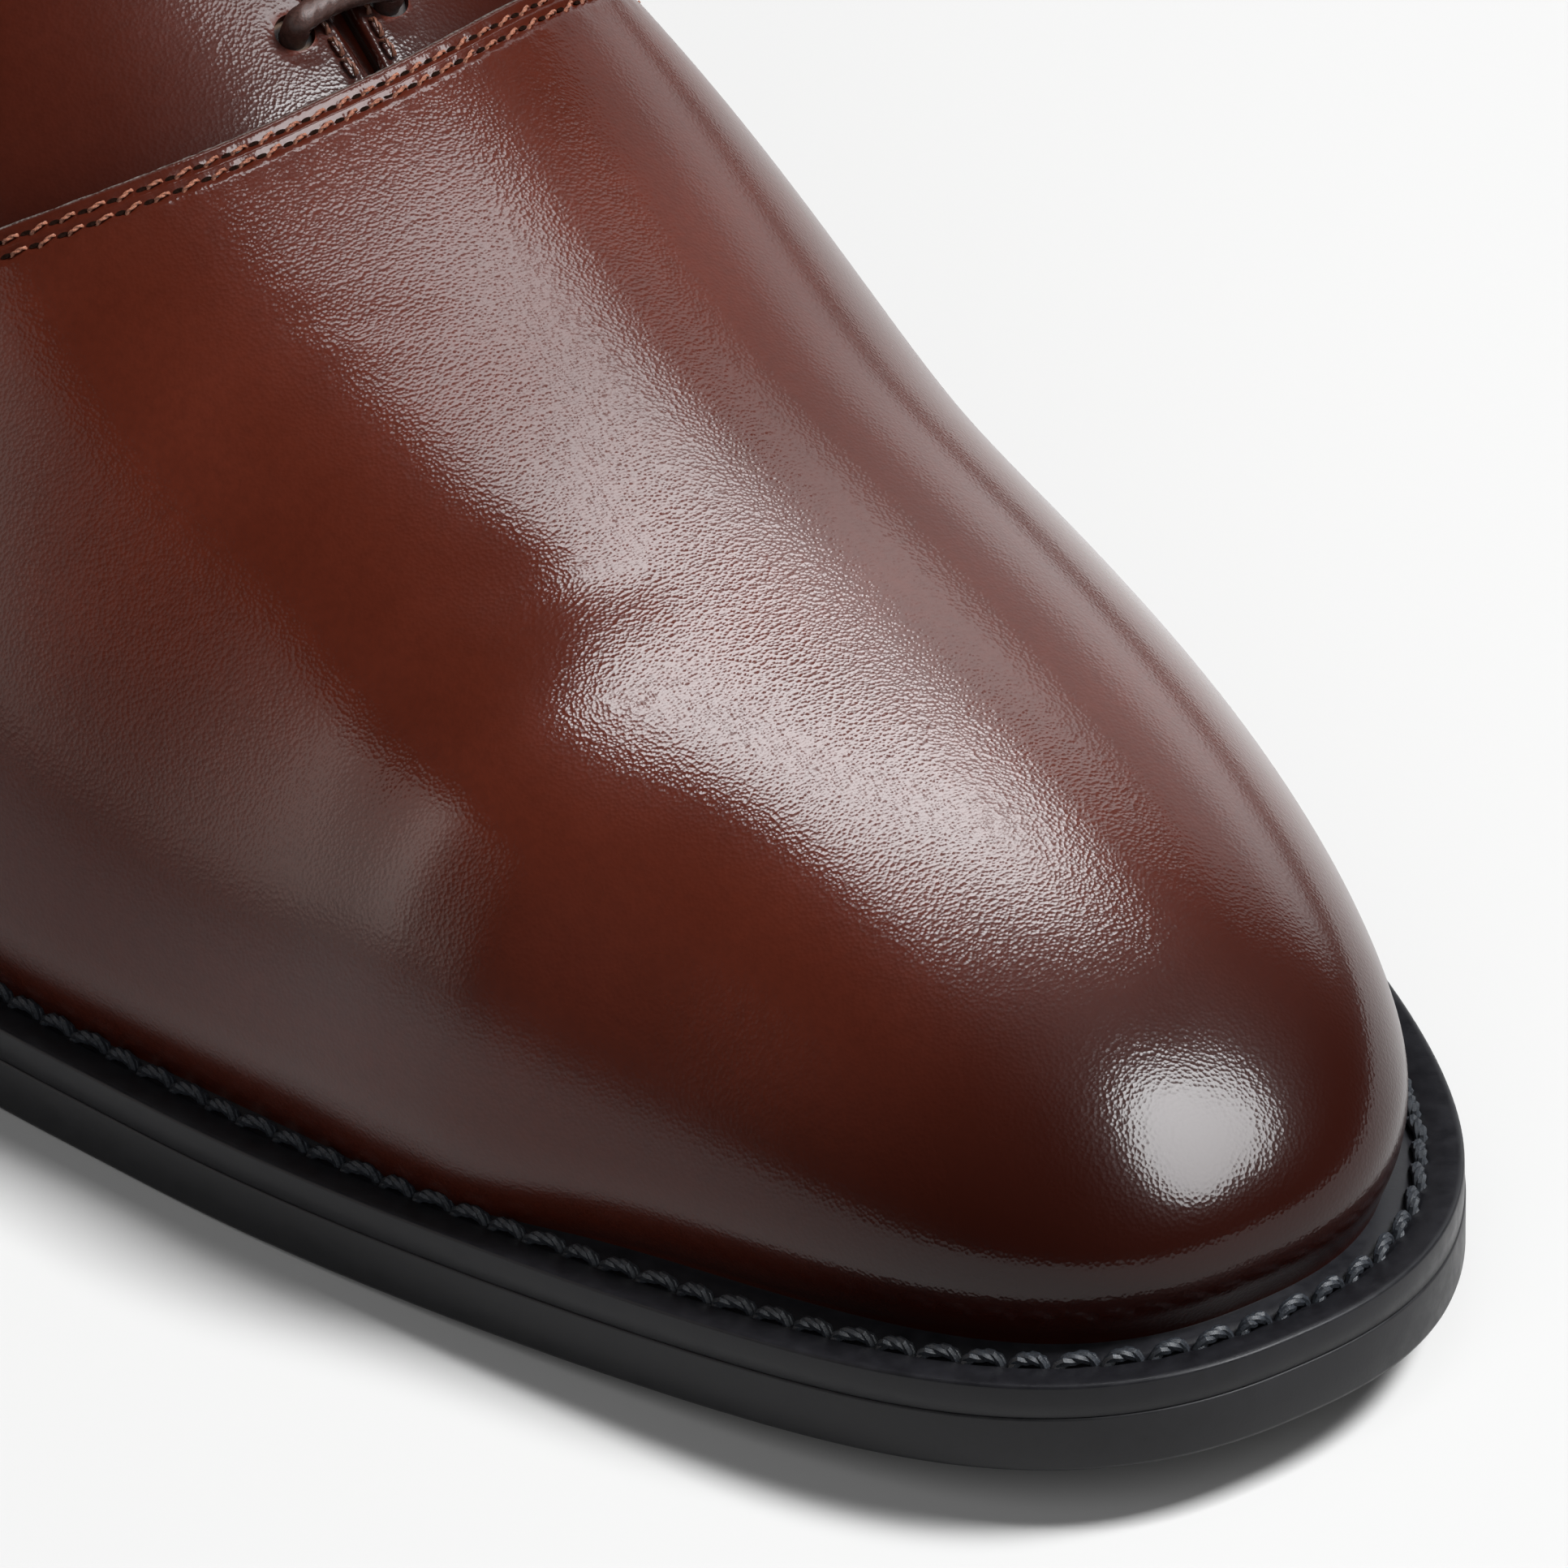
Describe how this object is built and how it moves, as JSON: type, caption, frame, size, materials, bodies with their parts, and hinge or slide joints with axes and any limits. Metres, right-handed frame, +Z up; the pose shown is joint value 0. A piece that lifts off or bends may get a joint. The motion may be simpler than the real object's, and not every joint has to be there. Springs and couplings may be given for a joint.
{
  "type": "oxford shoe",
  "caption": "Plain-toe leather oxford for the right foot: hollow upper with closed lacing slit and bar lacing, welted flat sole with arch and toe spring, low stacked heel.",
  "frame": {"origin": "middle of the shoe's box in plan, on the floor it stands on", "axes": "+X to the toe, +Y to the inner (big toe) side, +Z up"},
  "size_m": [0.302, 0.1022, 0.1083],
  "materials": {
    "upper": "polished chestnut-brown calf with fine grain, darker at the toe",
    "lace": "round waxed cotton lace, dark brown",
    "welt": "black welt strip with a stitched top",
    "outsole": "black rubber, satin edge",
    "heel": "black stacked heel, satin",
    "insole": "matt tan sock leather"
  },
  "bodies": {
    "root": {"outsole": "outsole", "welt": "welt", "heel_block": "heel", "heel_top_lift": "outsole", "insole": "insole", "upper": "upper", "tongue": "upper", "lace_bar_1": "lace", "lace_bar_2": "lace", "lace_bar_3": "lace", "lace_bar_4": "lace", "lace_bar_5": "lace"}
  },
  "joints": []
}
